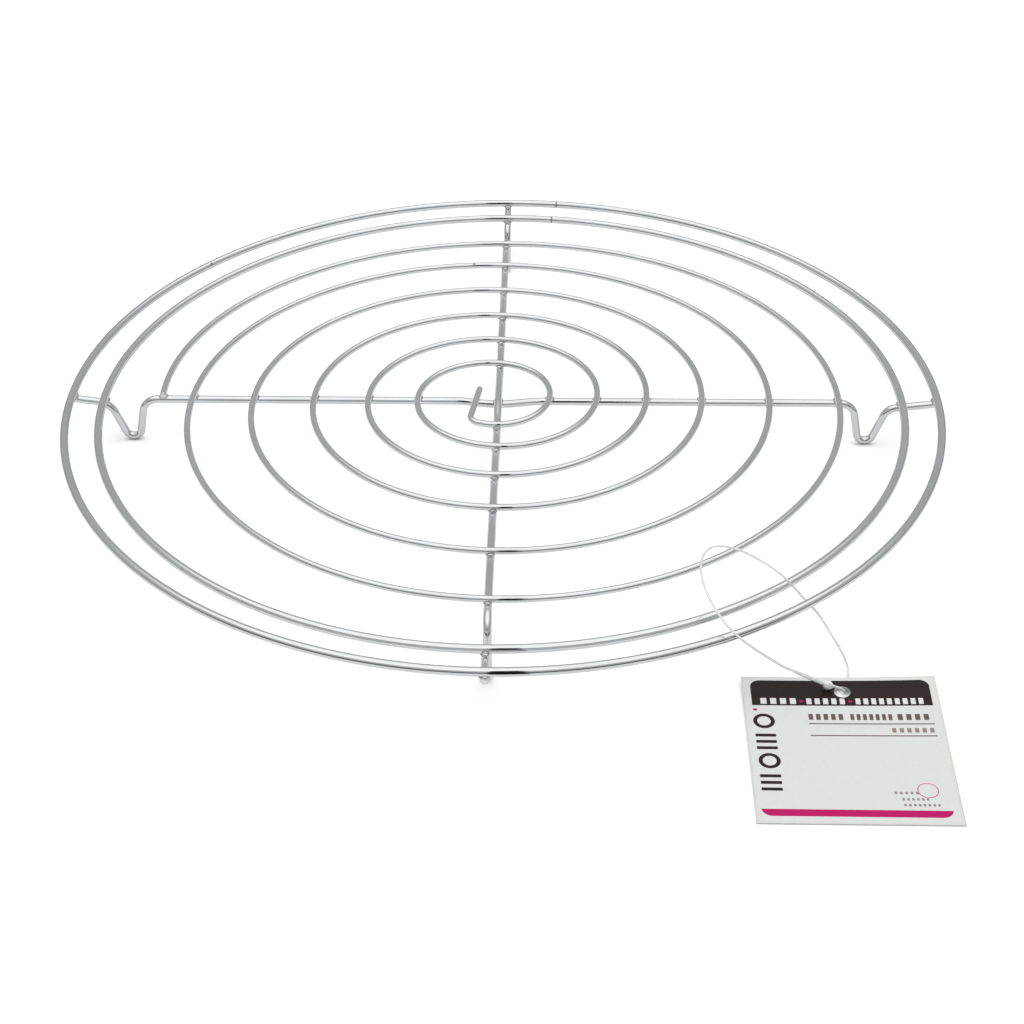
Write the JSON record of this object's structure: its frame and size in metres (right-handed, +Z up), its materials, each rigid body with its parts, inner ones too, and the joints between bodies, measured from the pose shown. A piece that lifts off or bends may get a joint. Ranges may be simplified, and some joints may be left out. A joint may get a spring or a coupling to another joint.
{
  "type": "wire cooling rack",
  "caption": "Round chrome-plated wire cooling rack: a spiral grid on two crossed leg wires with V-bent feet inside a double rim, with a card swing tag on a plastic loop.",
  "frame": {"origin": "centre of the outer rim, on the surface that the feet stand on", "axes": "+Z up through the grid, X along the side-to-side leg wire, Y along the front-to-back leg wire, the tag at -Y and +X"},
  "size_m": [0.32, 0.362, 0.0265],
  "materials": {
    "chrome_wire": "bright chrome plate on drawn steel wire",
    "weld_metal": "plated weld flash, slightly rough",
    "printed_card": "film-laminated printed card",
    "loop_plastic": "translucent natural polypropylene"
  },
  "bodies": {
    "rack": {"outer_rim": "chrome_wire", "inner_rim": "chrome_wire", "outer_rim_butt_weld": "weld_metal", "inner_rim_butt_weld": "weld_metal", "spiral_grid": "chrome_wire", "side_to_side_leg_wire": "chrome_wire", "front_to_back_leg_wire": "chrome_wire", "outer_rim_welds": "weld_metal", "inner_rim_welds": "weld_metal", "spiral_welds": "weld_metal", "centre_weld": "weld_metal"},
    "loop": {"tag_loop": "loop_plastic", "tag_loop_socket": "loop_plastic", "tag_loop_tip": "loop_plastic"},
    "tag": {"swing_tag": "printed_card"}
  },
  "joints": [
    {"name": "loop_slides_round_rim", "type": "hinge", "parent": "rack", "child": "loop", "pos_m": [0, 0, 0], "axis": [0, 0, 1], "range_deg": [-30, 35]},
    {"name": "tag_swings_on_loop", "type": "hinge", "parent": "loop", "child": "tag", "pos_m": [0.1095, -0.1445, 0], "axis": [0, 0, 1], "range_deg": [-35, 25]}
  ]
}
